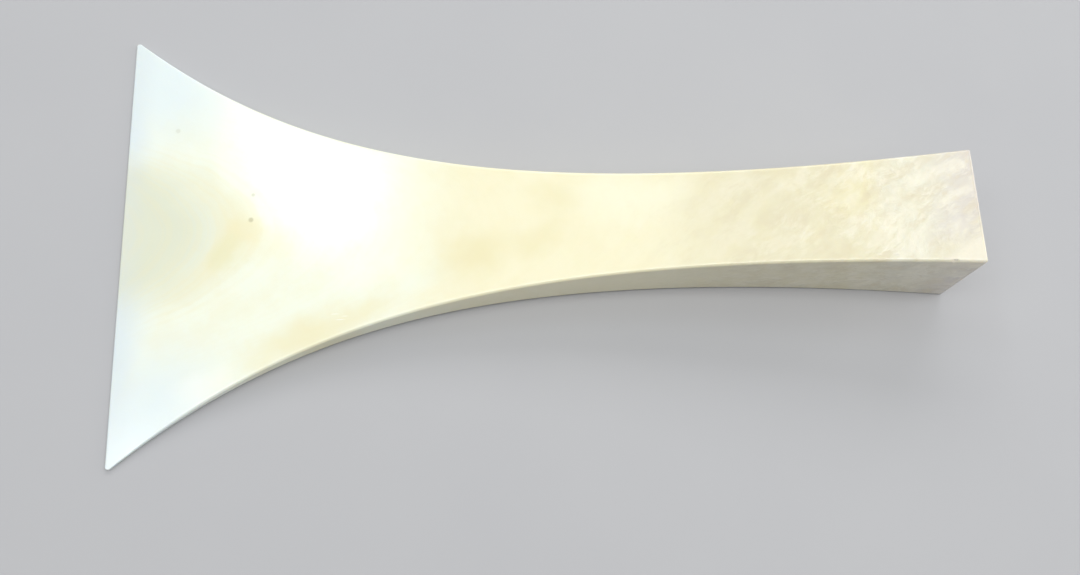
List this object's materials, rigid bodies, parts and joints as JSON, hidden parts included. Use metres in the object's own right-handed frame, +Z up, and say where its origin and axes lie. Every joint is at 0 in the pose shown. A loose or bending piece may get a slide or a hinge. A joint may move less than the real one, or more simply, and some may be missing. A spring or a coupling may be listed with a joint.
{
  "type": "shamisen plectrum",
  "caption": "Solid carved plectrum for a shamisen: a thin flared blade with a straight playing edge, a narrow waist and a thick, nearly square handle.",
  "frame": {"origin": "on the surface the plectrum lies on, under the middle of its bounding box", "axes": "+X from the playing edge to the butt, +Y across the blade, square to the plane of symmetry, +Z up from the broad face it lies on"},
  "size_m": [0.2004, 0.1054, 0.0272],
  "materials": {
    "ivory": "gloss"
  },
  "bodies": {
    "root": {"plectrum": "ivory"}
  },
  "joints": []
}
